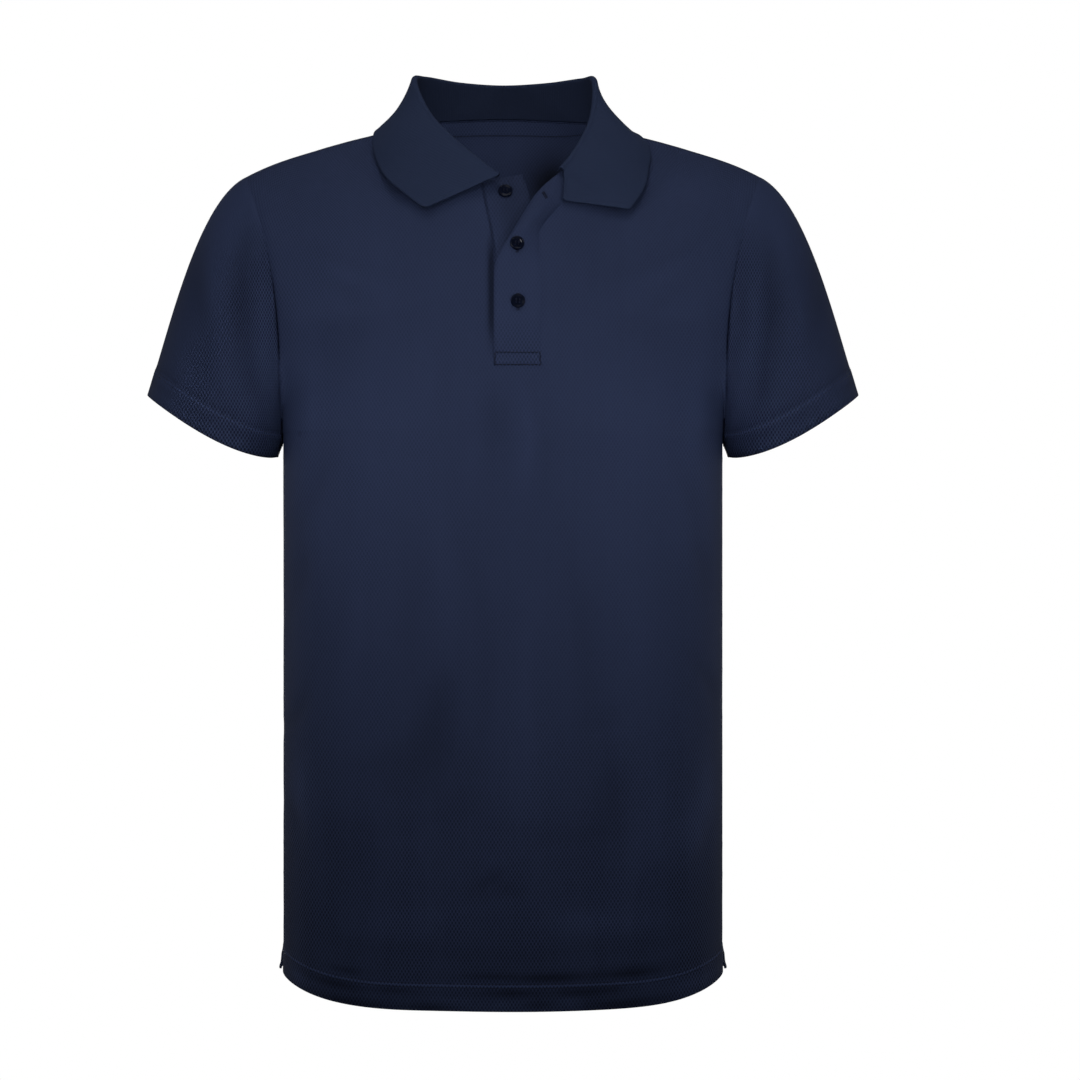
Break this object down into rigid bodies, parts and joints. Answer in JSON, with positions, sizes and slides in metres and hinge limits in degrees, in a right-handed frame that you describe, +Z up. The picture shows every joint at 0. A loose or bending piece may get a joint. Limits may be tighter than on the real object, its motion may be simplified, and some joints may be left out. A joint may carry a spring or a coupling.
{
  "type": "polo shirt",
  "caption": "Short-sleeved knitted polo shirt, filled out as worn and hollow, with a turned-down collar, a part-open buttoned placket and a rounded hem.",
  "frame": {"origin": "Midway between the two shoulder-neck points, where the shirt hangs on its wearer.", "axes": "+Z is up, the wearer faces -Y, and +X is the wearer's left."},
  "size_m": [0.5844, 0.2513, 0.7573],
  "materials": {
    "mesh_knit": "matt knitted mesh",
    "rib_knit": "matt flat knit",
    "button": "polished"
  },
  "bodies": {
    "root": {"front": "mesh_knit", "back": "mesh_knit", "sleeve_right": "mesh_knit", "sleeve_left": "mesh_knit", "collar": "rib_knit", "placket_top": "mesh_knit", "placket_under": "mesh_knit", "neck_tape": "mesh_knit", "button_top": "button", "button_middle": "button", "button_bottom": "button"}
  },
  "joints": []
}
